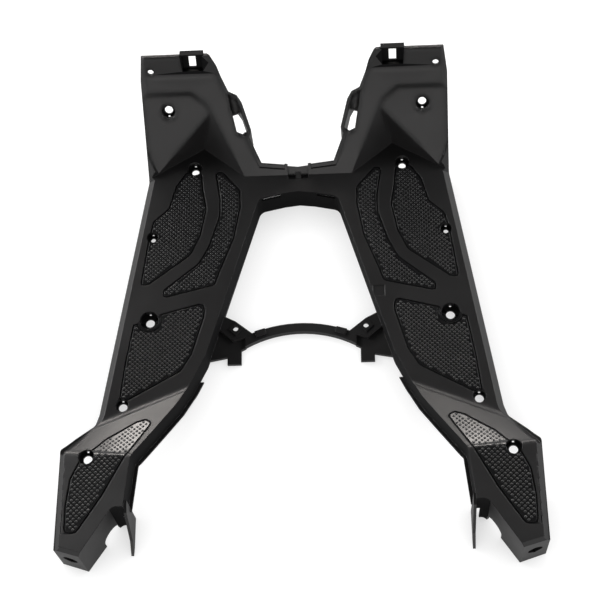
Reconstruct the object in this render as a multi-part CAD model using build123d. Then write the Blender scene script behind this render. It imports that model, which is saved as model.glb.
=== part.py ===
"""Scooter floorboard: one black injection moulding with two foot planks and two raised rear footrests.

Millimetres, +Z up, +Y to the front of the scooter, X = 0 on the middle plane. The walls stand on Z = 0.
Features are given for the right half and mirrored.
"""
from build123d import *
from math import cos, hypot, radians, sin, sqrt, tan
import os

# Heights and walls
floor_height = 36.0        # foot floor above the lower edge of the walls
wall = 3.0                 # thickness of the moulding
skirt_depth = 36.0         # depth of the side walls below the top surface
top_height = 153.0         # upper edge of the front uprights
bevel = 7.0                # sloped strip along the outer edge
bevel_lag = 5.0            # the strip reaches the footrest this far behind the end of the flare

# Side profile: front shield, floor, ramp and footrest
toe_y = 177.0              # line where the shield meets the floor
shield_slope = 50.0
shield_crease_height = 129.0
flange_slope = 66.0
ramp_foot_inner = Vector(119.0, -79.0)
ramp_foot_turn = 22.8      # degrees that the foot of the ramp turns back from square
crest_inner = Vector(178.0, -164.0)
crest_turn = 6.8           # degrees that the crest turns forward from square
crest_height = 72.0        # at the inner wall
crest_fall = 0.14          # fall of the footrest towards the outside, per millimetre
shoulder_round = 20.0
ramp_foot_round = 14.0
crest_round = 9.0

# Plan outline, right half
rear_y = -269.0
shield_half_width = 171.5
shield_crease_half_width = 170.5
shield_top_inner = 93.0
shield_top_outer = 166.0
tunnel_edge = [(53.5, 209, 0), (50.5, 214, 0), (59, 235, 8), (64, 240.5, 0), (73, 243.5, 0), (84, 261, 10)]
lip_y = 185.0
lip_half_width = 41.0
lip_bow = 3.0              # the ends of the lip stand this far in front of its middle
tail_half_width = 253.5
tail_outer_y = -260.0
tail_edge = 4.0            # sloped strip between the footrest and the end face
waist_half_width = 45.0
plank_outer_rear = Vector(217.0, -105.0)
flare_start = Vector(221.0, -117.0)
flare_end = Vector(tail_half_width - 1.5, -153.0)
plank_inner_rear = Vector(103.0, -42.0)
ramp_inner = Vector(131.0, -99.0)
rest_inner_front = Vector(175.0, -165.0)
rest_inner_rear = Vector(181.0, -220.0)
scoop_corner = Vector(192.0, -219.0)
tail_width = 27.5
tail_inner = Vector(tail_half_width - tail_width, rear_y)
cross_rear_y = 156.0       # rear edge of the cross-member on the middle plane
cross_rear_side_y = 148.0
cross_bow = Vector(17.0, -2.0)         # the rear edge bows back past the middle plane by this

# Toe pocket in each shield
pocket_apex = Vector(108.0, 214.5)
pocket_heel_outer = Vector(146.0, 192.0)
pocket_heel_inner = Vector(61.0, toe_y)
pocket_depth = 4.5
pocket_top_y = 244.0
pocket_side = shield_half_width - 12.5
pocket_corner_x = 114.0    # where the blunted upper corner leaves the top edge
pocket_front_slope = 83.0
pocket_facet_slope = 71.7
pocket_top_slope = 80.0
pocket_side_slope = 62.0

# Grip pads, each a corner list with radii, and the groove round each field
pad_edge_x = tail_half_width - 10.5    # outer edge of the footrest pad
pads = {
    "outer_front": [
        (128, 186, 5), (140, 168, 0), (148, 139, 8), (165, 123, 6), (170, 99, 0), (177.5, 42, 4),
        (166, 45, 0), (121, 79, 14), (110, 103, 20), (103.5, 137, 15), (108, 162, 0), (110, 184, 4),
    ],
    "inner_front": [
        (95.5, 184.5, 4), (86, 184.5, 5), (65.5, 160, 8), (65, 138, 0), (72, 99, 30), (88, 57, 0),
        (93, 41.5, 6), (152, 27, 4), (151, 38, 5), (112, 70, 25), (101, 92, 25), (90, 128, 0), (90, 148, 0),
    ],
    "middle": [
        (152, 9.5, 0), (103, 22.5, 6), (104, 5, 0), (117, -40, 0), (129, -60, 12), (186, -92, 4),
        (196, -92, 4), (191, -48, 0), (183.5, -3, 0),
    ],
    "rear": [
        (163, -117, 4), (174, -120, 0), (205, -141, 0), (216, -153, 4), (229, -166, 6),
        (pad_edge_x - 4, -186, 0), (pad_edge_x, -215, 0), (pad_edge_x, -246, 6), (pad_edge_x - 14, -246, 7),
        (203, -208, 0), (178, -163, 30), (155, -123, 4),
    ],
}
groove_width = 2.2
groove_depth = 1.0
pad_hole_gap = 2.5         # land between the middle screw cup and the groove round it

# Screw cups in the floor and footrest: x, y, cup radius, depth, hole radius
cups = {
    "front": (118.6, 189.2, 8.3, 9.0, 4.2),
    "edge": (164.8, 103.3, 6.6, 7.0, 2.8),
    "middle": (165.4, 2.1, 10.5, 9.0, 5.0),
    "rear": (191.8, -96.8, 7.3, 7.0, 4.8),
    "rest": (tail_half_width - 31.0, -163.0, 8.8, 12.0, 4.8),
}
drain = 2.4                # side of the square water drain at the rim of each seat
cup_sides = 16
boss_sides = 8

# Shield fixings
shield_cup = (142.5, 231.5, 7.7, 6.0, 4.6)
corner_hole = (157.5, 135.2)           # x and height
corner_hole_radius = 3.5
clip_x = 110.5                         # spring-clip box in the upper flange
clip_width = 26.0
clip_height = 21.0
clip_depth = 9.0
clip_slot_width = 8.0
clip_slot_height = 17.0
clip_rise = 1.5                        # the box stands above the upper edge
lug_slot = [(71, 229), (62.5, 231), (54.5, 213.5), (60, 210), (66.5, 212)]
lug_recess = [(74, 242), (64.5, 238.5), (60.5, 230.2), (71.5, 228)]
lug_recess_depth = 9.0
ledge_width = 4.5                      # lowered ledge along the tunnel edge of the shield
ledge_drop = 2.0
ledge_reach = [(15, 178), (45, 178), (62, 205), (68, 232), (80, 240), (92, 262), (92, 280), (15, 280)]

# Cross-member
clip_notch_width = 23.0
clip_notch_depth = 5.0
clip_notch_rear = 172.0
clip_notch_hole = 6.0                  # side of the square hole in the seat
clip_notch_hole_y = 178.0
cross_slot_x = 31.0
cross_slot_width = 21.0
cross_slot_height = 6.0

# Rear bridge under the tunnel
bridge_front_radius = 144.0
bridge_rear_radius = 124.0
bridge_front_y = 5.4
bridge_rear_y = -4.5
bridge_height = 8.0
bridge_reach = 62.0
bridge_clip = (44.7, -5.3, -17.0)      # x, y and turn in degrees
bridge_clip_size = (12.0, 7.0, 2.0)    # the last is the rise above the bar
bracket_hole = (72.5, 0.5)
bracket_hole_radius = 3.0
bracket_boss = 12.0
bracket_boss_rise = 1.0
bracket_turn = 45.0
bracket_plate = [(89, 18), (72.5, 9.5), (52, -7), (75, -14.5), (95, 3)]
bracket_web = [(95, 3), (54, -9), (61, -21.5), (66, -24), (66, -32), (81.5, -32), (108, -37)]
web_height = bridge_height - wall
tab_x = (66.0, 81.5)
tab_y = (-40.5, -30.0)

# Rear end of each arm
tail_drop_side = 6.0                   # the walls run down to the ground from this far inside the scoop
tail_drop_front = 20.0                 # and from this far in front of it
tail_cup = (8.0, 5.0, 4.0)             # cup radius, depth, hole radius
tail_cup_height = 33.0
arch_width = 24.0
arch_height = 22.0
arch_place = 16.0                      # middle of the arch, measured along the wall from the scoop
low_flange = 4.0                       # lip along the lower edge of the inner wall
rim_reach = [(90, -60), (125, -60), (190, -160), (190, -216), (150, -216), (90, -120)]
hanging_lug = [(-212, 66), (-224, 62), (-241, 16), (-254, 3), (-244, 0), (-212, 0)]
notch_count = 6
notch_first_y = -175.0
notch_pitch = 13.2
notch_length = 8.0
notch_depth = 1.2
notch_width = 3.2

# Small features of the planks
wall_holes = [98.0, 22.0]
wall_hole_height = 25.0
wall_hole = 3.6                        # side of the square holes in the tunnel wall
thumb_recess = (88.0, 30.0)            # shallow mark on the right plank alone
thumb_size = 13.0
thumb_depth = 0.8

# Stiffening ribs under the planks
rib_rows = [140.0, 70.0, -30.0, -70.0]
rib_depth = 14.0
rib_thickness = 2.0

# Working room for cutting tools, and how round and square tools sit on their place
on_base = (Align.CENTER, Align.CENTER, Align.MIN)
from_top = (Align.CENTER, Align.CENTER, Align.MAX)
reach = 700.0
far_x = tail_half_width + 10.0
low_z = -80.0


def rise(run, slope):
    """Height gained over a horizontal run at a slope in degrees."""
    return run * tan(radians(slope))


shield_crease_y = toe_y + (shield_crease_height - floor_height) / tan(radians(shield_slope))
flange_top_y = shield_crease_y + (top_height - shield_crease_height) / tan(radians(flange_slope))
front_y = flange_top_y + wall / sin(radians(flange_slope))


def shield_z(y):
    """Height of the shield surface at a place along the part."""
    return floor_height + rise(y - toe_y, shield_slope)


def rest_z(x):
    """Height of the footrest at a distance from the middle plane."""
    return crest_height - crest_fall * (x - crest_inner.X)


def crest_y(x):
    """Place of the crest between ramp and footrest at a distance from the middle plane."""
    return crest_inner.Y + rise(x - crest_inner.X, crest_turn)


def parallel(points, gap):
    """Shift an open line, drawn from front to rear, down by a gap measured square to each run."""
    runs = []
    for (y0, z0), (y1, z1) in zip(points, points[1:]):
        length = hypot(y1 - y0, z1 - z0)
        across = Vector((z1 - z0) / length, -(y1 - y0) / length) * -gap
        runs.append((Vector(y0, z0) + across, Vector(y1, z1) + across))
    shifted = [runs[0][0]]
    for (a, b), (c, d) in zip(runs, runs[1:]):
        along, beside = b - a, d - c
        share = (c - a).cross(beside).Z / along.cross(beside).Z
        shifted.append(a + along * share)
    shifted.append(runs[-1][1])
    return [(p.X, p.Y) for p in shifted]


def roof_section(x, gap):
    """Closed side profile under the top surface, rounded outside and sharp at a gap below it."""
    foot_y = ramp_foot_inner.Y - rise(x - ramp_foot_inner.X, ramp_foot_turn)
    top_y = shield_crease_y + reach / 4
    line = [
        (top_y, shield_crease_height + rise(top_y - shield_crease_y, flange_slope)),
        (shield_crease_y, shield_crease_height),
        (toe_y, floor_height),
        (foot_y, floor_height),
        (crest_y(x), rest_z(x)),
        (rear_y - reach / 10, rest_z(x)),
    ]
    line = parallel(line, gap)
    line += [(line[-1][0], low_z), (line[0][0], low_z)]
    rounds = [0, shoulder_round, 0, ramp_foot_round, crest_round, 0, 0, 0]
    outside = gap == 0
    edge = FilletPolyline(*line, radius=rounds, close=True) if outside else Polyline(*line, close=True)
    return Plane.YZ.offset(x) * make_face(edge)


def lowered(shape, drop):
    """A copy of a shape moved straight down."""
    return shape.moved(Location((0, 0, -drop)))


def upright_prism(face):
    """A plan face drawn out through the whole height."""
    return lowered(extrude(face, reach, dir=(0, 0, 1)), -low_z)


def beyond(origin, normal):
    """Half-space tool on the side of a plane that its normal points to."""
    return Plane(origin, z_dir=normal) * Box(reach, reach, reach, align=on_base)


def slope_normal(across, slope):
    """Upward normal of a surface that falls towards the plan direction given."""
    flat = Vector(across.X, across.Y).normalized()
    return Vector(flat.X * sin(radians(slope)), flat.Y * sin(radians(slope)), cos(radians(slope)))


shield_normal = slope_normal(Vector(0, -1), shield_slope)
flange_normal = slope_normal(Vector(0, -1), flange_slope)


def toe_pocket(grow):
    """Hollow for the toes in the right shield, with its surfaces moved out by an amount."""
    heel = pocket_heel_outer - pocket_apex
    inner_heel = pocket_heel_inner - pocket_apex
    apex = Vector(pocket_apex.X, pocket_apex.Y, floor_height)

    def cut(origin, normal):
        return beyond(origin - normal * grow, normal)

    facet = slope_normal(Vector(-inner_heel.Y, inner_heel.X), pocket_facet_slope)
    room = cut(apex, facet)
    room = room & cut(Vector(0, 0, floor_height), Vector(0, 0, 1))
    room = room & cut(Vector(0, toe_y, 0), Vector(0, 1, 0))
    panel = room & cut(Vector(0, toe_y, floor_height) - shield_normal * pocket_depth, shield_normal)
    top_edge = Vector(0, pocket_top_y, shield_z(pocket_top_y))
    side_edge = Vector(pocket_side, toe_y, floor_height)
    top_side = slope_normal(Vector(0, -1), pocket_top_slope)
    panel = panel & cut(top_edge, top_side)
    panel = panel & cut(top_edge + Vector(pocket_corner_x, 0), (top_side + facet).normalized())
    panel = panel & cut(side_edge, slope_normal(Vector(-1, 0), pocket_side_slope))
    hollow = room & cut(apex, slope_normal(Vector(heel.Y, -heel.X), pocket_front_slope))
    return panel, hollow


def top_form(gap):
    """Everything under the right half of the top surface with its toe pocket, lowered by a gap."""
    half = loft([roof_section(0, gap), roof_section(far_x, gap)], ruled=True)
    for hollow in toe_pocket(gap):
        half = half - hollow
    return half


half_outline = [
    # x, y, corner radius
    (lip_half_width, lip_y + lip_bow, 0),
    *tunnel_edge,
    (shield_top_inner, front_y, 0),
    (shield_top_outer, front_y, 0),
    (shield_crease_half_width, shield_crease_y, 0),
    (shield_half_width, toe_y, 40),
    (plank_outer_rear.X, plank_outer_rear.Y, 15),
    (flare_start.X, flare_start.Y, 15),
    (flare_end.X, flare_end.Y, 12),
    (tail_half_width, tail_outer_y, 0),
    (tail_inner.X, tail_inner.Y, 0),
    (scoop_corner.X, scoop_corner.Y, 8),
    (rest_inner_rear.X, rest_inner_rear.Y, 0),
    (rest_inner_front.X, rest_inner_front.Y, 25),
    (ramp_inner.X, ramp_inner.Y, 60),
    (plank_inner_rear.X, plank_inner_rear.Y, 15),
    (waist_half_width, cross_rear_side_y, 10),
    (cross_bow.X, cross_rear_y + cross_bow.Y, 25),
]


def rounded_face(corners):
    """Plan face from corners given as x, y and radius."""
    points = [corner[:2] for corner in corners]
    return make_face(FilletPolyline(*points, radius=[corner[2] for corner in corners], close=True))


def plan_face(corners):
    """Plan face from straight runs."""
    return make_face(Polyline(*corners, close=True))


def plan():
    """Plan outline of the whole moulding, rounded and with sharp corners."""
    other = [(-x, y, r) for x, y, r in reversed(half_outline)]
    corners = [(0, lip_y, 0)] + half_outline + [(0, cross_rear_y, 0)] + other
    return rounded_face(corners), plan_face([corner[:2] for corner in corners])


def bevel_tool(grow):
    """Cutter for the sloped strip along the right outer edge, moved in by an amount."""
    leg = bevel + grow * sqrt(2)
    past_y = front_y + wall
    past_z = shield_crease_height + rise(past_y - shield_crease_y, flange_slope)
    edge = [
        Vector(shield_top_outer, past_y, past_z),
        Vector(shield_crease_half_width, shield_crease_y, shield_crease_height),
        Vector(shield_half_width, toe_y, floor_height),
        Vector(plank_outer_rear.X, plank_outer_rear.Y, floor_height),
        Vector(flare_start.X, flare_start.Y, floor_height),
        Vector(flare_end.X, flare_end.Y - bevel_lag, rest_z(flare_end.X)),
        Vector(tail_half_width, tail_outer_y - reach / 20, rest_z(tail_half_width)),
    ]
    sections = []
    for i, corner in enumerate(edge):
        before = edge[max(i - 1, 0)]
        after = edge[min(i + 1, len(edge) - 1)]
        run = Vector(after.X - before.X, after.Y - before.Y).normalized()
        out = Vector(-run.Y, run.X)
        inner = corner - out * leg
        lower = corner - Vector(0, 0, leg)
        upper = corner + out * leg + Vector(0, 0, leg)
        sections.append(make_face(Polyline(inner, lower, upper, close=True)))
    return loft(sections, ruled=True)


def chorded(corners):
    """Plan face from corners given as x, y and radius, with each rounding drawn as two chords."""
    points = []
    for before, corner, after in zip(corners[-1:] + corners[:-1], corners, corners[1:] + corners[:1]):
        tip, radius = Vector(*corner[:2]), corner[2]
        if radius == 0:
            points.append(tip)
            continue
        back = (Vector(*before[:2]) - tip).normalized()
        ahead = (Vector(*after[:2]) - tip).normalized()
        half_angle = radians(back.get_angle(ahead)) / 2
        inward = (back + ahead).normalized()
        points.append(tip + back * (radius / tan(half_angle)))
        points.append(tip + inward * (radius / sin(half_angle) - radius))
        points.append(tip + ahead * (radius / tan(half_angle)))
    return plan_face(points)


def pad_faces():
    """The pad fields of the right half, cleared round the middle screw cup."""
    x, y, radius, *_ = cups["middle"]
    land = Pos(x, y) * RegularPolygon(radius + pad_hole_gap, cup_sides)
    return [chorded(corners) - land for corners in pads.values()]


def groove_tool():
    """Rings above the groove floors of the right half."""
    rings = [face - offset(face, -groove_width) for face in pad_faces()]
    return [upright_prism(ring) - lowered(top, groove_depth) for ring in rings]


def cup_height(x, y):
    """Height of the top surface at a screw cup."""
    return rest_z(x) if y < crest_y(x) + ramp_foot_round else floor_height


def screw_cup(place, radius, depth, hole):
    """Boss and cutters for a screw cup sunk square to a surface, with a drain on its forward side."""
    floor = place * Pos(0, 0, -depth)
    rim = RegularPolygon(radius + wall, boss_sides, major_radius=False)
    boss = floor * Pos(0, 0, -wall) * extrude(rim, depth + wall)
    dish = floor * extrude(RegularPolygon(radius, cup_sides), 2 * depth)
    bore = floor * Cylinder(hole, 4 * wall)
    outlet = floor * Pos(0, radius, 0) * Box(drain, drain, 4 * wall)
    return boss, [dish, bore, outlet]


def block(x_span, y_span, z_span):
    """Upright box between limits."""
    sizes = [high - low for low, high in (x_span, y_span, z_span)]
    lows = [low for low, high in (x_span, y_span, z_span)]
    return Pos(*lows) * Box(*sizes, align=Align.MIN)


def layer(face, shallow, deep):
    """Part of a plan face that lies between two depths below the top surface."""
    return (upright_prism(face) & lowered(top, shallow)) - lowered(top, deep)


def clip_box():
    """Box behind the upper flange and its cutters, for a spring clip."""
    middle_z = top_height + clip_rise - clip_height / 2
    middle_y = shield_crease_y + (middle_z - shield_crease_height) / tan(radians(flange_slope))
    place = Plane((clip_x, middle_y, middle_z), x_dir=(1, 0, 0), z_dir=flange_normal)
    length = clip_height / sin(radians(flange_slope))
    box = place * Box(clip_width, length, clip_depth, align=from_top)
    well = place * Pos(0, 0, wall) * Box(clip_width - wall, length - wall, clip_depth, align=from_top)
    slot = place * Box(clip_slot_width, clip_slot_height, 4 * clip_depth)
    return box, well, slot


def rear_bridge():
    """Arched bar under the tunnel with its clip, bracket, boss and tab, right half."""
    front = Pos(0, bridge_front_y - bridge_front_radius) * Circle(bridge_front_radius)
    rear = Pos(0, bridge_rear_y - bridge_rear_radius) * Circle(bridge_rear_radius)
    bar = (front - rear) & Pos(0, tab_y[0]) * Rectangle(bridge_reach, reach, align=Align.MIN)
    bridge = extrude(bar, bridge_height)
    clip_at_x, clip_at_y, clip_turn = bridge_clip
    length, width, clip_above = bridge_clip_size
    clip = Box(length, width, bridge_height + clip_above, align=on_base)
    bridge = bridge + Pos(clip_at_x, clip_at_y, 0) * Rot(0, 0, clip_turn) * clip
    bridge = bridge + Pos(0, 0, web_height) * extrude(plan_face(bracket_plate), wall)
    bridge = bridge + extrude(plan_face(bracket_web), web_height)
    bridge = bridge + block(tab_x, tab_y, (0, web_height))
    boss = Box(bracket_boss, bracket_boss, wall + bracket_boss_rise, align=on_base)
    bridge = bridge + Pos(*bracket_hole, web_height) * Rot(0, 0, bracket_turn) * boss
    return bridge, Pos(*bracket_hole, web_height) * Cylinder(bracket_hole_radius, 4 * wall)


def tail_frame():
    """Plane on the end face, looking out of it."""
    outer, inner = Vector(tail_half_width, tail_outer_y), tail_inner
    run = (inner - outer).normalized()
    middle = (outer + inner) * 0.5
    return Plane((middle.X, middle.Y, tail_cup_height), x_dir=(run.X, run.Y, 0), z_dir=(-run.Y, run.X, 0))


outline, sharp_outline = plan()
top = top_form(0)
below_top = Pos(0, 0, top_height) * Box(reach, 2 * reach, reach, align=from_top)
body = (upright_prism(outline) & top & below_top) - bevel_tool(0)
end = tail_frame()
end_edge = Vector(end.origin.X, end.origin.Y, rest_z(end.origin.X) - tail_edge)
body = body - beyond(end_edge, end.z_dir + Vector(crest_fall, 0, 1).normalized())

# Shell: one wall thickness under the top surface and inside the outline
inside = offset(sharp_outline, -wall, kind=Kind.INTERSECTION)
open_top = [
    (shield_top_inner + wall, shield_crease_y),
    (shield_top_inner + wall, front_y + reach / 10),
    (shield_top_outer - wall, front_y + reach / 10),
    (shield_top_outer - wall, shield_crease_y),
]
inside = inside + make_face(Polyline(*open_top, close=True))
under_top = top_form(wall)
void = (upright_prism(inside) & under_top) - bevel_tool(wall)
under = lowered(under_top, skirt_depth - wall)
tail_room = Box(reach, reach, reach, align=(Align.MIN, Align.MAX, Align.CENTER))
tail_room = Pos(scoop_corner.X - tail_drop_side, rest_inner_rear.Y + tail_drop_front, 0) * tail_room
ground = Box(2 * reach, 2 * reach, reach, align=on_base)
half = (body - void - (under - tail_room)) & ground

# Ribs across the underside of the planks
slab = body - lowered(top, rib_depth)
for y in rib_rows:
    half = half + (slab & Pos(0, y, 0) * Box(reach, rib_thickness, reach))

# Screw cups
seats = [(Plane((x, y, cup_height(x, y))), sizes) for x, y, *sizes in cups.values()]
x, y, *sizes = shield_cup
panel_z = shield_z(y) - pocket_depth / cos(radians(shield_slope))
seats.append((Plane((x, y, panel_z), x_dir=(-1, 0, 0), z_dir=shield_normal), sizes))
seats.append((tail_frame(), tail_cup))
for place, sizes in seats:
    boss, cutters = screw_cup(place, *sizes)
    half = half + (boss & body)
    for cutter in cutters:
        half = half - cutter
for tool in groove_tool():
    half = half - tool

# Shield flange: spring-clip box and corner hole
box, well, slot = clip_box()
half = half + box
half = half - well - slot
hole_x, hole_z = corner_hole
hole_y = shield_crease_y + (hole_z - shield_crease_height) / tan(radians(flange_slope))
half = half - Plane((hole_x, hole_y, hole_z), z_dir=flange_normal) * Cylinder(corner_hole_radius, 4 * wall)

# Tunnel edge of the shield: a lowered ledge, and a lug with a slot and a sunk shelf above it
ledge = outline - offset(sharp_outline, -ledge_width, kind=Kind.INTERSECTION)
ledge = ledge & plan_face(ledge_reach)
half = half - layer(ledge, -wall, ledge_drop)
half = half + (layer(ledge, ledge_drop, ledge_drop + wall) & body)
half = half - upright_prism(plan_face(lug_slot)) - layer(plan_face(lug_recess), -wall, lug_recess_depth)
half = half + layer(plan_face(lug_recess), lug_recess_depth, lug_recess_depth + wall)

# Cross-member: sunk clip seat in the lip and long slots under the rear edge
seat = Rectangle(clip_notch_width, lip_y + lip_bow - clip_notch_rear, align=(Align.CENTER, Align.MIN))
seat = Pos(0, clip_notch_rear) * seat
half = half - layer(seat, -wall, clip_notch_depth)
half = half + (layer(seat, clip_notch_depth, clip_notch_depth + wall) & body)
clip_hole = Pos(0, clip_notch_hole_y) * Rectangle(clip_notch_hole, clip_notch_hole)
half = half - layer(clip_hole, 0, clip_notch_depth + 2 * wall)
cross_slot = Box(cross_slot_width, 6 * wall, cross_slot_height, align=on_base)
half = half - Pos(cross_slot_x, cross_rear_y - wall, floor_height - wall - cross_slot_height) * cross_slot

# Rear bridge
bridge, bore = rear_bridge()
half = half + (bridge - void) - bore

# Arm: lip along the lower edge of the inner wall, hanging lug and arch
rim = offset(sharp_outline, low_flange, kind=Kind.INTERSECTION) - outline
rim = rim & plan_face(rim_reach)
half = half + layer(rim, skirt_depth - wall, skirt_depth)
lug = Plane.YZ.offset(rest_inner_rear.X - wall) * plan_face(hanging_lug)
half = half + extrude(lug, wall, dir=(1, 0, 0))
run = (tail_inner - scoop_corner).normalized()
middle = scoop_corner + run * arch_place
arch_plane = Plane((middle.X, middle.Y, 0), x_dir=(run.X, run.Y, 0), z_dir=(run.Y, -run.X, 0))
spring_line = arch_height - arch_width / 2
arch_top = Pos(0, spring_line) * RegularPolygon(arch_width / 2, cup_sides)
arch = Rectangle(arch_width, 2 * spring_line) + arch_top
half = half - extrude(arch_plane * arch, 3 * wall, both=True)

# Row of short notches along the footrest bevel
notch_x = tail_half_width - bevel
notch = Box(notch_width, notch_length, 2 * notch_depth)
for i in range(notch_count):
    half = half - Pos(notch_x, notch_first_y - i * notch_pitch, rest_z(notch_x)) * notch

# Small holes in the tunnel wall
for y in wall_holes:
    punch = Box(4 * waist_half_width, wall_hole, wall_hole)
    half = half - Pos(waist_half_width, y, wall_hole_height) * punch

whole = half + mirror(half, about=Plane.YZ)
x, y = thumb_recess
whole = whole - Pos(x, y, floor_height) * Box(thumb_size, thumb_size, 2 * thumb_depth)
whole = Pos(0, -whole.bounding_box().center().Y, 0) * whole
os.makedirs("parts", exist_ok=True)
export_step(whole, "parts/floorboard.step")
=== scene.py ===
"""Looks of a scooter floorboard: its black moulded skin, the grip nubs on its pads and the studio.

Metres, +Z up, +Y to the front of the scooter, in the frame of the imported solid.
"""

import logging
import math
from dataclasses import dataclass, field
from enum import Enum

import bmesh
import bpy
from mathutils import Matrix, Vector
from mathutils.bvhtree import BVHTree
from mathutils.geometry import intersect_point_line

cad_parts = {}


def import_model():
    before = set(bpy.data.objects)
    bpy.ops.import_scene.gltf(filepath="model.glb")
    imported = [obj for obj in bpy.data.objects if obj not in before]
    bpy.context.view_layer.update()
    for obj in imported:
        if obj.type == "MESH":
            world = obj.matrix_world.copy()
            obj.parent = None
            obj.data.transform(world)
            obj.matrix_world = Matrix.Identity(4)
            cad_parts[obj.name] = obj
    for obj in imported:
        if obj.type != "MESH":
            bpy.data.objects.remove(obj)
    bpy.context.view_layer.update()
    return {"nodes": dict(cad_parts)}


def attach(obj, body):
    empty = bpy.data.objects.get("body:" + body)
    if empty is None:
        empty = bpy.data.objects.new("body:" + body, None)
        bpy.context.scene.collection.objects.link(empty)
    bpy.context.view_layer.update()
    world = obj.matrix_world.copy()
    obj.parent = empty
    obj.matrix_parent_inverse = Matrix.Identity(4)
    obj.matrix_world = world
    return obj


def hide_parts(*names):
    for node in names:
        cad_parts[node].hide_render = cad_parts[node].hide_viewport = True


LOG = logging.getLogger("floorboard")
MM = 0.001
BODY = "root"
NODE = "floorboard"
# Least cosine between a face's normal and a direction for the face to count as turned that way
FACING = 0.5

Outline = list[tuple[float, float]]
Point = tuple[float, float, float]


class Side(Enum):
    """The two halves of the floorboard, with the sign of X on each."""

    LEFT = -1
    RIGHT = 1


class SkinSlot(Enum):
    """Material slots of the skin, in the order in which its plastics are added."""

    BODY = 0
    PLATE = 1
    # Slot of the darker plastic that paints shade
    MATTE_SHADE = 2


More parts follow.
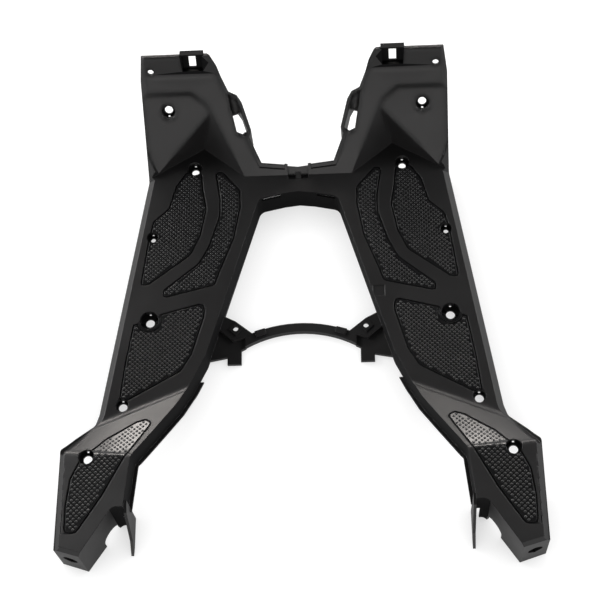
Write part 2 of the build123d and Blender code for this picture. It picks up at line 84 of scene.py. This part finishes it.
@dataclass(frozen=True)
class MouldedPlastic:
    """Black polypropylene as it leaves an etched mould.

    Attributes:
        name: Name of the material.
        dark: Colour of the deepest patches, linear.
        pale: Colour of the palest patches, linear.
        gloss: Lowest and highest roughness.
        grain_mm: Size of the etched grain.
        grain_depth_mm: Height of the etched grain.
        edge_round_mm: Radius that the light sees on sharp edges.
        shield_round_mm: The same on the toe shields, whose edges are softer.
        specular: Strength of the surface's shine.
        ior: Index of refraction.
        patch_scale: Number of patches to a metre.
        patch_detail: Octaves of the patches.
        patch_roughness: Weight of the finer octaves.
        patch_range: Part of the patches' range over which the roughness changes.
        grain_detail: Octaves of the grain.
        grain_strength: Share of the grain's height that the light sees.
        round_samples: Rays that look for a sharp edge.
        shield_rise: Axis, start and end of the change from planks to shields, in metres.
    """

    name: str
    dark: Point
    pale: Point
    gloss: tuple[float, float]
    grain_mm: float
    grain_depth_mm: float
    edge_round_mm: float
    shield_round_mm: float = 0.0
    specular: float = 0.5
    ior: float = 1.5
    patch_scale: float = 14.0
    patch_detail: float = 5.0
    patch_roughness: float = 0.62
    patch_range: tuple[float, float] = (0.3, 0.7)
    grain_detail: float = 2.0
    grain_strength: float = 0.6
    round_samples: int = 6
    shield_rise: tuple[tuple[str, float, float], ...] = (("Y", 0.178, 0.198), ("Z", 0.040, 0.055))

    def material(self) -> bpy.types.Material:
        """Build the node material.

        Returns:
            The new material.
        """
        made = bpy.data.materials.new(self.name)
        made.use_nodes = True
        shader = made.node_tree.nodes["Principled BSDF"]
        shader.inputs["IOR"].default_value = self.ior
        shader.inputs["Specular IOR Level"].default_value = self.specular
        place = made.node_tree.nodes.new("ShaderNodeTexCoord").outputs["Object"]
        self.cloud(made, place)
        self.etch(made, place)
        return made

    def cloud(self, made: bpy.types.Material, place: bpy.types.NodeSocket) -> None:
        """Vary colour and roughness in soft patches.

        Args:
            made: The material that gets the nodes.
            place: Its object coordinates.
        """
        nodes = made.node_tree.nodes
        links = made.node_tree.links
        shader = nodes["Principled BSDF"]
        patches = nodes.new("ShaderNodeTexNoise")
        patches.inputs["Scale"].default_value = self.patch_scale
        patches.inputs["Detail"].default_value = self.patch_detail
        patches.inputs["Roughness"].default_value = self.patch_roughness
        links.new(place, patches.inputs["Vector"])

        tint = nodes.new("ShaderNodeMix")
        tint.data_type = "RGBA"
        tint.inputs["A"].default_value = (*self.dark, 1.0)
        tint.inputs["B"].default_value = (*self.pale, 1.0)
        links.new(patches.outputs["Fac"], tint.inputs["Factor"])
        links.new(tint.outputs["Result"], shader.inputs["Base Color"])

        sheen = nodes.new("ShaderNodeMapRange")
        sheen.inputs["From Min"].default_value, sheen.inputs["From Max"].default_value = self.patch_range
        sheen.inputs["To Min"].default_value, sheen.inputs["To Max"].default_value = self.gloss
        links.new(patches.outputs["Fac"], sheen.inputs["Value"])
        links.new(sheen.outputs["Result"], shader.inputs["Roughness"])

    def etch(self, made: bpy.types.Material, place: bpy.types.NodeSocket) -> None:
        """Lay the etched grain over softly rounded edges.

        Args:
            made: The material that gets the nodes.
            place: Its object coordinates.
        """
        nodes = made.node_tree.nodes
        links = made.node_tree.links
        grain = nodes.new("ShaderNodeTexNoise")
        grain.inputs["Scale"].default_value = 1.0 / (self.grain_mm * MM)
        grain.inputs["Detail"].default_value = self.grain_detail
        links.new(place, grain.inputs["Vector"])

        rounded = nodes.new("ShaderNodeBevel")
        rounded.samples = self.round_samples
        rounded.inputs["Radius"].default_value = self.edge_round_mm * MM
        if self.shield_round_mm:
            links.new(self.round_by_place(made, place), rounded.inputs["Radius"])

        bump = nodes.new("ShaderNodeBump")
        bump.inputs["Distance"].default_value = self.grain_depth_mm * MM
        bump.inputs["Strength"].default_value = self.grain_strength
        links.new(grain.outputs["Fac"], bump.inputs["Height"])
        links.new(rounded.outputs["Normal"], bump.inputs["Normal"])
        links.new(bump.outputs["Normal"], nodes["Principled BSDF"].inputs["Normal"])

    def round_by_place(self, made: bpy.types.Material, place: bpy.types.NodeSocket) -> bpy.types.NodeSocket:
        """Make the edge radius grow from the planks to the toe shields.

        Args:
            made: The material that gets the nodes.
            place: Its object coordinates.

        Returns:
            The socket with the radius in metres.
        """
        nodes = made.node_tree.nodes
        links = made.node_tree.links
        spot = nodes.new("ShaderNodeSeparateXYZ")
        links.new(place, spot.inputs["Vector"])
        radius = nodes.new("ShaderNodeMapRange")
        radius.inputs["To Min"].default_value = self.edge_round_mm * MM
        radius.inputs["To Max"].default_value = self.shield_round_mm * MM
        share = nodes.new("ShaderNodeMath")
        share.operation = "MULTIPLY"
        for slot, (axis, start, end) in enumerate(self.shield_rise):
            rise = nodes.new("ShaderNodeMapRange")
            rise.inputs["From Min"].default_value = start
            rise.inputs["From Max"].default_value = end
            links.new(spot.outputs[axis], rise.inputs["Value"])
            links.new(rise.outputs["Result"], share.inputs[slot])
        links.new(share.outputs["Value"], radius.inputs["Value"])
        return radius.outputs["Result"]


SKIN_PLASTIC = MouldedPlastic(
    name="satin_black_plastic",
    dark=(0.0108, 0.0103, 0.0106),
    pale=(0.0160, 0.0155, 0.0158),
    gloss=(0.35, 0.43),
    grain_mm=0.7,
    grain_depth_mm=0.03,
    edge_round_mm=0.8,
    shield_round_mm=8.0,
)
PLATE_PLASTIC = MouldedPlastic(
    name="polished_pad_plastic",
    dark=(0.0055, 0.0055, 0.006),
    pale=(0.0085, 0.0085, 0.009),
    gloss=(0.19, 0.23),
    grain_mm=0.9,
    grain_depth_mm=0.008,
    edge_round_mm=0.6,
)
# Rougher, duller plastic whose darker colour is painted shade in grooves, notches and shaded walls
MATTE_SHADE_PLASTIC = MouldedPlastic(
    name="matte_painted_shade_plastic",
    dark=(0.006, 0.006, 0.0065),
    pale=(0.009, 0.009, 0.0095),
    gloss=(0.72, 0.82),
    grain_mm=0.4,
    grain_depth_mm=0.03,
    edge_round_mm=0.5,
    specular=0.12,
)
NUB_PLASTIC = MouldedPlastic(
    name="grip_nub_plastic",
    dark=(0.009, 0.009, 0.0095),
    pale=(0.014, 0.014, 0.0145),
    gloss=(0.27, 0.33),
    grain_mm=0.5,
    grain_depth_mm=0.01,
    edge_round_mm=0.15,
)


def add_piece(name: str, shape: bmesh.types.BMesh, finish: bpy.types.Material) -> bpy.types.Object:
    """Turn a bmesh into a piece of the floorboard.

    Args:
        name: Name of the new object.
        shape: Its mesh, in place. It is freed.
        finish: Its material.

    Returns:
        The new object, riding on the floorboard.
    """
    mesh = bpy.data.meshes.new(name)
    shape.to_mesh(mesh)
    shape.free()
    mesh.materials.clear()
    mesh.materials.append(finish)
    piece = bpy.data.objects.new(name, mesh)
    bpy.context.scene.collection.objects.link(piece)
    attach(piece, BODY)
    LOG.info("%s: %d faces", name, len(mesh.polygons))
    return piece


@dataclass(frozen=True)
class NotchRow:
    """The short notches along the bevel of each footrest.

    Attributes:
        first: Middle of the foremost notch of the right footrest, in millimetres.
        pitch: Distance from one notch to the next, in millimetres.
        count: Number of notches.
        half: Half of a notch's width, length and height, in millimetres.
    """

    first: Point = (246.5, -177.81, 62.41)
    pitch: float = 13.2
    count: int = 6
    half: Point = (1.65, 4.05, 1.25)

    def holds(self, spot: Vector) -> bool:
        """Tell whether a place lies in a notch of either footrest.

        Args:
            spot: The place in metres.

        Returns:
            True if it does.
        """
        away = Vector((abs(spot.x), spot.y, spot.z)) / MM - Vector(self.first)
        row = min(self.count - 1, max(0, round(-away.y / self.pitch)))
        away.y += row * self.pitch
        return all(abs(gap) <= reach for gap, reach in zip(away, self.half))


@dataclass(frozen=True)
class ShadedRoom:
    """A box round faces of the right half that get painted shade, which counts for its mirror image on the
    left too.

    Attributes:
        low: Low corner in metres.
        high: High corner in metres.
        facing: Way that the painted-shade faces are turned, or None where all faces in the box get it.
    """

    low: Point
    high: Point
    facing: Point | None = None

    def holds(self, face: bpy.types.MeshPolygon) -> bool:
        """Tell whether a face is one of those that get painted shade.

        Args:
            face: A face of the skin.

        Returns:
            True if it lies in the box and is turned its way.
        """
        spot = (abs(face.center.x), face.center.y, face.center.z)
        within = all(least < value < most for least, value, most in zip(self.low, spot, self.high))
        if self.facing is None or not within:
            return within
        outward = math.copysign(1.0, face.center.x) * face.normal.x
        return Vector((outward, face.normal.y, face.normal.z)).dot(self.facing) > FACING


@dataclass
class Moulding:
    """The moulded body, with its facets merged into smooth faces.

    Attributes:
        finish: Plastic of the body.
        plate: Plastic of the pads between the nubs.
        matte_shade: Rougher, duller plastic whose darker colour is painted shade in grooves, notches and
            shaded rooms.
        notches: The notches of the footrests.
        rooms: The boxes round the faces that get painted shade.
        weld_mm: Distance under which the solid's corners are one.
        crease_deg: Angle from which an edge stays sharp.
    """

    finish: MouldedPlastic = SKIN_PLASTIC
    plate: MouldedPlastic = PLATE_PLASTIC
    matte_shade: MouldedPlastic = MATTE_SHADE_PLASTIC
    notches: NotchRow = NotchRow()
    # Faces in these boxes get the darker plastic as painted shade
    rooms: tuple[ShadedRoom, ...] = (
        # The shield's clip box
        ShadedRoom((0.0965, 0.244, 0.1325), (0.1245, 0.280, 0.160)),
        # The plank's wall beside the tunnel
        ShadedRoom((0.030, -0.2155, 0.005), (0.186, 0.160, 0.075), (-1.0, 0.0, 0.0)),
        # The cross-member's rear wall
        ShadedRoom((-0.001, 0.130, 0.005), (0.050, 0.156, 0.040), (0.0, -1.0, 0.0)),
        # The arch's front corner
        ShadedRoom((0.178, -0.2265, 0.005), (0.1955, -0.219, 0.075), (0.0, -1.0, 0.0)),
    )
    weld_mm: float = 0.002
    crease_deg: float = 24.0

    def in_shade(self, face: bpy.types.MeshPolygon) -> bool:
        """Tell whether a face gets painted shade: in a notch, or one of a room's chosen faces."""
        return self.notches.holds(face.center) or any(room.holds(face) for room in self.rooms)

    def share_out(self, mesh: bpy.types.Mesh, pads: "GripPads") -> None:
        """Give the pads their own plastic, and their grooves and the shaded places the darker plastic of
        painted shade.

        Args:
            mesh: The skin's mesh.
            pads: The fields of nubs.
        """
        for finish in (self.plate, self.matte_shade):
            mesh.materials.append(finish.material())
        outlines = pads.outlines(Side.RIGHT)
        groove = pads.groove * MM
        for face in mesh.polygons:
            spot = Vector((abs(face.center.x), face.center.y))
            depth = max(GripPad.depth_inside(spot, outline) for outline in outlines)
            upright = face.normal.z > FACING
            grooved = upright and 0.0 < depth <= groove
            # Grooves, notches and the rooms' faces get the darker plastic: painted shade
            if grooved or self.in_shade(face):
                face.material_index = SkinSlot.MATTE_SHADE.value
            elif upright and depth > groove:
                face.material_index = SkinSlot.PLATE.value

    def build(self, solid: bpy.types.Object, pads: "GripPads") -> bpy.types.Object:
        """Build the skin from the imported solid.

        Args:
            solid: The floorboard's own object.
            pads: The fields of nubs, which stand on plates of their own.

        Returns:
            The skin, which stands for the solid.
        """
        shape = bmesh.new()
        shape.from_mesh(solid.data)
        bmesh.ops.remove_doubles(shape, verts=shape.verts, dist=self.weld_mm * MM)
        skin = add_piece("floorboard_skin", shape, self.finish.material())
        mesh = skin.data
        packed_normals = mesh.attributes.get("custom_normal")
        if packed_normals is not None:
            mesh.attributes.remove(packed_normals)
        mesh.shade_smooth()
        mesh.set_sharp_from_angle(angle=math.radians(self.crease_deg))
        even = skin.modifiers.new("even_faces", "WEIGHTED_NORMAL")
        even.keep_sharp = True
        self.share_out(mesh, pads)
        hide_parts(NODE)
        return skin


@dataclass
class GripPad:
    """One field of grip nubs, given on the right plank and mirrored for the left.

    Attributes:
        name: Name of the field.
        corners: Plan corners in millimetres, round the right field.
        pitch: Distance between nubs in a row and from row to row, in millimetres.
        base_share: Width of a nub at its foot, as a share of its cell.
        corner_share: Cut at the corners of the foot, as a share of its width.
        foot_sides: Sides of the foot once its corners are cut.
        height: Height of a nub in millimetres.
        courses: Way inward and upward of each course of a nub, as shares of its half width and height.
        edge_gap: Land between the field's edge and the nubs, in millimetres.
        sink: Depth of the foot under the surface, in millimetres.
        flatness: Step in the surface that leaves no room for a nub, in millimetres.
        spare_cells: Cells that the lattice has beyond the field.
    """

    name: str
    corners: Outline
    pitch: tuple[float, float] = (5.42, 5.0)
    base_share: float = 0.72
    corner_share: float = 0.29
    foot_sides: int = 8
    height: float = 0.75
    courses: tuple[tuple[float, float], ...] = ((0.12, 0.32), (0.50, 0.52), (0.20, 0.16))
    edge_gap: float = 3.6
    sink: float = 0.1
    flatness: float = 0.25
    spare_cells: int = 4

    def outline(self, side: Side) -> list[Vector]:
        """Corners of the field on one side, in metres."""
        return [Vector((x * side.value * MM, y * MM)) for x, y in self.corners]

    @staticmethod
    def depth_inside(spot: Vector, outline: list[Vector]) -> float:
        """Find how far a place lies inside an outline.

        Args:
            spot: The place in plan.
            outline: Corners of the outline.

        Returns:
            The distance to the nearest edge, negative outside.
        """
        inside = False
        nearest = math.inf
        for a, b in zip(outline, outline[1:] + outline[:1]):
            if (a.y > spot.y) != (b.y > spot.y):
                if spot.x < a.x + (spot.y - a.y) / (b.y - a.y) * (b.x - a.x):
                    inside = not inside
            _, share = intersect_point_line(spot, a, b)
            foot = a.lerp(b, min(1.0, max(0.0, share)))
            nearest = min(nearest, (spot - foot).length)
        return nearest if inside else -nearest

    def cells(self, outline: list[Vector]) -> bmesh.types.BMesh:
        """Lay a diamond lattice over the field and keep the cells inside it.

        Args:
            outline: Corners of the field.

        Returns:
            A flat bmesh of separate cells at height zero.
        """
        low = Vector((min(p.x for p in outline), min(p.y for p in outline)))
        high = Vector((max(p.x for p in outline), max(p.y for p in outline)))
        middle = (low + high) / 2
        row, step = (p * MM / 2 for p in self.pitch)
        cell_side = math.hypot(row, step)
        count = int(max((high.x - low.x) / row, (high.y - low.y) / step)) + self.spare_cells
        diamond = Matrix(((1, -1, 0, 0), (1, 1, 0, 0), (0, 0, 1, 0), (0, 0, 0, 1)))
        lattice = Matrix.Translation((*middle, 0)) @ Matrix.Diagonal((row, step, 1, 1)) @ diamond
        shape = bmesh.new()
        bmesh.ops.create_grid(shape, x_segments=count, y_segments=count, size=count / 2)
        bmesh.ops.transform(shape, matrix=lattice, verts=shape.verts)
        margin = self.edge_gap * MM
        outside = [f for f in shape.faces
                   if self.depth_inside(f.calc_center_median().to_2d(), outline) < margin]
        bmesh.ops.delete(shape, geom=outside, context="FACES")
        gap = (1 - self.base_share) / 2 * cell_side
        rims = bmesh.ops.inset_individual(shape, faces=shape.faces, thickness=gap)["faces"]
        bmesh.ops.delete(shape, geom=rims, context="FACES")
        corner_cut = self.corner_share * self.base_share * cell_side
        bmesh.ops.bevel(shape, geom=shape.verts, offset=corner_cut, offset_type="OFFSET", affect="VERTICES",
                        segments=1, profile=0.5, material=-1, clamp_overlap=True)
        return shape

    def seat(self, shape: bmesh.types.BMesh, ground: BVHTree) -> None:
        """Drop the cells onto the surface, and take away those over a groove or a screw cup.

        Args:
            shape: Flat cells, changed in place.
            ground: The floorboard's surface.
        """
        down = Vector((0, 0, -1))
        lift = Vector((0, 0, 1))
        loose = []
        for cell in shape.faces:
            middle, normal, _, _ = ground.ray_cast(cell.calc_center_median() + lift, down)
            if middle is None or normal.z < FACING:
                loose.append(cell)
                continue
            for corner in cell.verts:
                spot, _, _, _ = ground.ray_cast(corner.co + lift, down)
                if spot is None or abs((spot - middle).dot(normal)) > self.flatness * MM:
                    loose.append(cell)
                    break
                corner.co = spot - normal * self.sink * MM
        bmesh.ops.delete(shape, geom=loose, context="FACES")

    def raise_nubs(self, shape: bmesh.types.BMesh) -> None:
        """Raise a rounded nub from each cell and close its foot.

        Args:
            shape: Seated cells, changed in place.
        """
        row, step = self.pitch
        half = self.base_share * math.hypot(row, step) / 4
        tops = list(shape.faces)
        rise = (self.height + self.sink) * MM
        for inward, upward in self.courses:
            bmesh.ops.inset_individual(shape, faces=tops, thickness=inward * half * MM, depth=upward * rise)
        open_edges = [e for e in shape.edges if e.is_boundary]
        bmesh.ops.holes_fill(shape, edges=open_edges, sides=self.foot_sides)
        for face in shape.faces:
            face.smooth = True

    def build(self, side: Side, ground: BVHTree, finish: bpy.types.Material) -> bpy.types.Object:
        """Build the nubs of one field.

        Args:
            side: Half of the floorboard.
            ground: The floorboard's surface.
            finish: Plastic of the nubs.

        Returns:
            The new piece.
        """
        shape = self.cells(self.outline(side))
        self.seat(shape, ground)
        self.raise_nubs(shape)
        return add_piece(f"nubs_{self.name}_{side.name.lower()}", shape, finish)


@dataclass
class GripPads:
    """All fields of nubs.

    Attributes:
        shift: Move from the plan of the corner lists to the part's frame along Y, in millimetres.
        groove: Width of the groove round each field, in millimetres.
        pads: The fields of the right half.
    """

    shift: float = -2.81
    groove: float = 2.2
    pads: list[GripPad] = field(default_factory=lambda: [
        GripPad("outer_front", [
            (128, 186), (140, 168), (148, 139), (165, 123), (170, 99), (177.5, 42),
            (166, 45), (121, 79), (110, 103), (103.5, 137), (108, 162), (110, 184),
        ]),
        GripPad("inner_front", [
            (95.5, 184.5), (86, 184.5), (65.5, 160), (65, 138), (72, 99), (88, 57), (93, 41.5),
            (152, 27), (151, 38), (112, 70), (101, 92), (90, 128), (90, 148),
        ]),
        GripPad("middle", [
            (152, 9.5), (103, 22.5), (104, 5), (117, -40), (129, -60), (186, -92), (196, -92),
            (191, -48), (183.5, -3),
        ]),
        GripPad("rear", [
            (163, -117), (174, -120), (205, -141), (216, -153), (229, -166), (239, -186),
            (243, -215), (243, -246), (229, -246), (203, -208), (178, -163), (155, -123),
        ], pitch=(6.1, 5.7), base_share=0.58),
    ])

    def __post_init__(self) -> None:
        """Move the fields to the part's frame."""
        for pad in self.pads:
            pad.corners = [(x, y + self.shift) for x, y in pad.corners]

    def outlines(self, side: Side) -> list[list[Vector]]:
        """Outlines of the fields of one half, in metres."""
        return [pad.outline(side) for pad in self.pads]

    def build(self, solid: bpy.types.Object) -> None:
        """Build every field on both halves.

        Args:
            solid: The floorboard's own object, which carries the nubs.
        """
        shape = bmesh.new()
        shape.from_mesh(solid.data)
        ground = BVHTree.FromBMesh(shape)
        shape.free()
        finish = NUB_PLASTIC.material()
        for pad in self.pads:
            for side in Side:
                pad.build(side, ground, finish)


@dataclass(frozen=True)
class SoftBox:
    """A soft studio lamp.

    Attributes:
        name: Name of the lamp.
        place: Where it stands.
        size: Width and height.
        power: Power in watts.
        tint: Colour of its light.
    """

    name: str
    place: Point
    size: tuple[float, float]
    power: float
    tint: Point = (1.0, 1.0, 1.0)

    def hang(self, aim: Vector) -> None:
        """Add the lamp, turned to a point.

        Args:
            aim: The point that it lights.
        """
        lamp = bpy.data.lights.new(self.name, "AREA")
        lamp.shape = "RECTANGLE"
        lamp.size, lamp.size_y = self.size
        lamp.energy = self.power
        lamp.color = self.tint
        holder = bpy.data.objects.new(self.name, lamp)
        holder.location = self.place
        holder.rotation_euler = (aim - Vector(self.place)).to_track_quat("-Z", "Y").to_euler()
        bpy.context.scene.collection.objects.link(holder)


@dataclass
class Studio:
    """Floor, light and camera.

    Attributes:
        target: Point that the camera looks at.
        distance: From the camera to that point.
        elevation: Height of the camera over the horizon, in degrees.
        yaw: Turn of the view about +Z, in degrees.
        roll: Turn of the view about its own axis, in degrees.
        lens: Focal length in millimetres.
        sensor: Side of the camera's square picture, in millimetres.
        floor_size: Side of the floor.
        floor_white: Colour of the floor, linear.
        floor_roughness: Roughness of the floor.
        floor_specular: Strength of the floor's shine.
        floor_glow_and_painted_shadow: What the camera sees on top of the floor's own light, close to the
            walls,
        where it is dimmed as painted shadow, and in the open.
        shade_reach: How far from the walls the floor's painted shadow goes.
        gloss_share: Share of that glow that shows in the plastic's gloss.
        room: Brightness of the room by the height of the direction, from -1 straight down to
            1 straight up.
        boxes: The lamps.
    """

    target: Point = (0.001, 0.0182, 0.036)
    distance: float = 1.76
    elevation: float = 66.0
    yaw: float = 7.08
    roll: float = -8.18
    lens: float = 96.0
    sensor: float = 36.0
    floor_size: float = 12.0
    floor_white: Point = (0.26, 0.26, 0.26)
    floor_roughness: float = 0.9
    floor_specular: float = 0.1
    floor_glow_and_painted_shadow: tuple[float, float] = (0.5, 0.98)
    shade_reach: float = 0.045
    gloss_share: float = 0.35
    room: tuple[tuple[float, float], ...] = (
        (-1.0, 0.3), (0.0, 1.0), (0.3, 0.9), (0.7, 0.08), (1.0, 0.05),
    )
    boxes: list[SoftBox] = field(default_factory=lambda: [
        SoftBox("front_box", place=(-0.45, 2.6, 0.77), size=(2.8, 0.32), power=50.0, tint=(1.0, 0.94, 0.89)),
        SoftBox("left_box", place=(-2.1, 1.0, 1.1), size=(1.2, 1.0), power=48.0),
        SoftBox("right_box", place=(2.1, 1.0, 1.1), size=(1.2, 1.0), power=32.0),
        SoftBox("rear_box", place=(0.0, -2.8, 0.8), size=(2.4, 0.8), power=9.0, tint=(1.0, 0.96, 0.94)),
    ])

    def paper(self) -> bpy.types.Material:
        """Make the floor's paper, white to the camera and with painted shadow close to the walls.

        Returns:
            The new material.
        """
        made = bpy.data.materials.new("studio_paper")
        made.use_nodes = True
        nodes = made.node_tree.nodes
        links = made.node_tree.links
        shader = nodes["Principled BSDF"]
        shader.inputs["Base Color"].default_value = (*self.floor_white, 1.0)
        shader.inputs["Roughness"].default_value = self.floor_roughness
        shader.inputs["Specular IOR Level"].default_value = self.floor_specular
        shader.inputs["Emission Color"].default_value = (1.0, 1.0, 1.0, 1.0)

        # Painted shadow: ambient occlusion lowers the glow close to the walls
        shade = nodes.new("ShaderNodeAmbientOcclusion")
        shade.inputs["Distance"].default_value = self.shade_reach
        level = nodes.new("ShaderNodeMapRange")
        level.inputs["To Min"].default_value, level.inputs["To Max"].default_value = self.floor_glow_and_painted_shadow
        links.new(shade.outputs["AO"], level.inputs["Value"])

        ray = nodes.new("ShaderNodeLightPath").outputs
        seen = nodes.new("ShaderNodeMath")
        seen.operation = "MULTIPLY_ADD"
        seen.inputs[1].default_value = self.gloss_share
        links.new(ray["Is Glossy Ray"], seen.inputs[0])
        links.new(ray["Is Camera Ray"], seen.inputs[2])

        glow = nodes.new("ShaderNodeMath")
        glow.operation = "MULTIPLY"
        links.new(seen.outputs["Value"], glow.inputs[0])
        links.new(level.outputs["Result"], glow.inputs[1])
        links.new(glow.outputs["Value"], shader.inputs["Emission Strength"])
        return made

    def lay_floor(self) -> None:
        """Lay the pale floor under the lower edges of the walls."""
        shape = bmesh.new()
        bmesh.ops.create_grid(shape, x_segments=1, y_segments=1, size=self.floor_size / 2)
        mesh = bpy.data.meshes.new("studio_floor")
        shape.to_mesh(mesh)
        shape.free()
        mesh.materials.append(self.paper())
        floor = bpy.data.objects.new("studio_floor", mesh)
        bpy.context.scene.collection.objects.link(floor)

    def light_world(self) -> None:
        """Light the room: pale near the horizon, dim overhead."""
        world = bpy.data.worlds.new("studio_room")
        bpy.context.scene.world = world
        world.use_nodes = True
        nodes = world.node_tree.nodes
        links = world.node_tree.links
        way = nodes.new("ShaderNodeSeparateXYZ")
        links.new(nodes.new("ShaderNodeTexCoord").outputs["Generated"], way.inputs["Vector"])
        level = nodes.new("ShaderNodeMapRange")
        level.inputs["From Min"].default_value = -1.0
        links.new(way.outputs["Z"], level.inputs["Value"])
        fade = nodes.new("ShaderNodeValToRGB")
        stops = fade.color_ramp.elements
        for height, _ in self.room[1:-1]:
            stops.new((height + 1) / 2)
        for stop, (_, bright) in zip(stops, self.room):
            stop.color = (bright, bright, bright, 1.0)
        links.new(level.outputs["Result"], fade.inputs["Fac"])
        ground = nodes["Background"]
        ground.inputs["Strength"].default_value = 1.0
        links.new(fade.outputs["Color"], ground.inputs["Color"])

    def set_camera(self) -> None:
        """Place the camera at the picture's viewing angle."""
        rise = math.radians(self.elevation)
        turn = Matrix.Rotation(math.radians(self.yaw), 3, "Z")
        ahead = turn @ Vector((0, math.cos(rise), -math.sin(rise)))
        across = turn @ Vector((1, 0, 0))
        upward = across.cross(ahead)
        lean = math.radians(self.roll)
        right = across * math.cos(lean) + upward * math.sin(lean)
        top = upward * math.cos(lean) - across * math.sin(lean)
        eye = bpy.data.cameras.new("camera")
        eye.lens = self.lens
        eye.sensor_width = self.sensor
        holder = bpy.data.objects.new("camera", eye)
        turned = Matrix((right, top, -ahead)).transposed().to_4x4()
        stand = Vector(self.target) - ahead * self.distance
        holder.matrix_world = Matrix.Translation(stand) @ turned
        bpy.context.scene.collection.objects.link(holder)
        bpy.context.scene.camera = holder

    def build(self) -> None:
        """Build the floor, the light and the camera."""
        self.lay_floor()
        self.light_world()
        for box in self.boxes:
            box.hang(Vector(self.target))
        self.set_camera()
        bpy.context.scene.view_settings.view_transform = "Standard"


def main() -> None:
    """Build the floorboard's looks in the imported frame."""
    logging.basicConfig(level=logging.INFO)
    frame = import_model()
    solid = frame["nodes"][NODE]
    pads = GripPads()
    Moulding().build(solid, pads)
    pads.build(solid)
    Studio().build()


if __name__ == "__main__":
    main()
